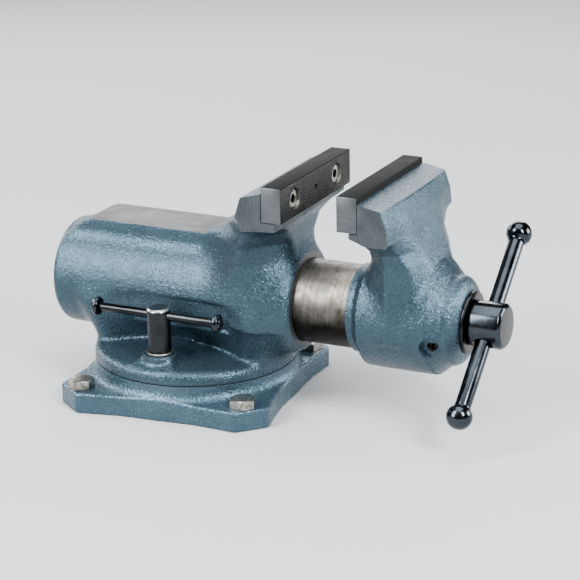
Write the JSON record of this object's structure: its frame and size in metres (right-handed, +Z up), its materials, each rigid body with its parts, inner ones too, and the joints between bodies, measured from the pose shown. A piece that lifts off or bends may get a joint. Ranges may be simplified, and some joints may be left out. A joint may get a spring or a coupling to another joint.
{
  "type": "bench vise",
  "caption": "Bench vise with a round slide bar, bolted jaw inserts, a flat anvil, a sliding spindle handle and a swivel base clamped by a side T-bar lock.",
  "frame": {"origin": "swivel axis at the underside of the base plate", "axes": "+X along the screw from the anvil end towards the handle, +Z up, swivel lock on the -Y side"},
  "size_m": [0.3034, 0.156, 0.156],
  "materials": {
    "hammered_paint": "hammered blue-grey enamel over cast iron, with bare machined anvil and jaw faces",
    "bright_steel": "turned and lightly brushed bare steel",
    "ground_steel": "hardened and ground, darkened",
    "dark_steel": "black oxide, polished",
    "zinc_steel": "zinc plated"
  },
  "bodies": {
    "base": {"base_casting": "hammered_paint", "hold_down_bolt_1": "zinc_steel", "hold_down_bolt_2": "zinc_steel", "hold_down_bolt_3": "zinc_steel", "hold_down_bolt_4": "zinc_steel", "pivot_bolt": "bright_steel", "pivot_washer": "bright_steel"},
    "vise_body": {"vise_body_casting": "hammered_paint", "spindle_nut": "bright_steel", "nut_lock_screw": "bright_steel", "slide_key": "bright_steel", "slide_key_screw": "bright_steel", "rear_jaw_insert": "ground_steel", "rear_insert_screw_1": "zinc_steel", "rear_insert_screw_2": "zinc_steel", "lock_bolt": "bright_steel", "lock_washer": "bright_steel"},
    "front_jaw": {"front_jaw_casting": "hammered_paint", "slide_bar": "bright_steel", "front_jaw_insert": "ground_steel", "front_insert_screw_1": "zinc_steel", "front_insert_screw_2": "zinc_steel", "thrust_washer": "dark_steel", "spindle_retaining_screw": "bright_steel"},
    "spindle": {"spindle": "dark_steel"},
    "handle": {"handle_bar": "dark_steel", "handle_knob_upper": "dark_steel", "handle_knob_lower": "dark_steel"},
    "lock_nut": {"lock_nut": "dark_steel"},
    "lock_bar": {"lock_bar": "dark_steel", "lock_bar_cap_left": "dark_steel", "lock_bar_cap_right": "dark_steel"}
  },
  "joints": [
    {"name": "swivel", "type": "hinge", "parent": "base", "child": "vise_body", "pos_m": [0, 0, 0.0235], "axis": [0, 0, 1], "continuous": true},
    {"name": "jaw_slide", "type": "slide", "parent": "vise_body", "child": "front_jaw", "axis": [1, 0, 0], "range_m": [-0.0365, 0.02]},
    {"name": "spindle_turn", "type": "hinge", "parent": "front_jaw", "child": "spindle", "pos_m": [0.204, 0, 0.0696], "axis": [1, 0, 0], "range_deg": [-2628.5, 1440.5]},
    {"name": "handle_slide", "type": "slide", "parent": "spindle", "child": "handle", "axis": [0, 0.7524, 0.6587], "range_m": [-0.0455, 0.0437]},
    {"name": "lock_nut_turn", "type": "hinge", "parent": "vise_body", "child": "lock_nut", "pos_m": [0, -0.0488, 0.0636], "axis": [0, 0, 1], "range_deg": [-4, 4]},
    {"name": "lock_bar_slide", "type": "slide", "parent": "lock_nut", "child": "lock_bar", "axis": [1, 0, 0], "range_m": [-0.032, 0.0345]}
  ],
  "couplings": [
    {"joint": "spindle_turn", "follows": "jaw_slide", "rad_per_m": 1256.6}
  ]
}
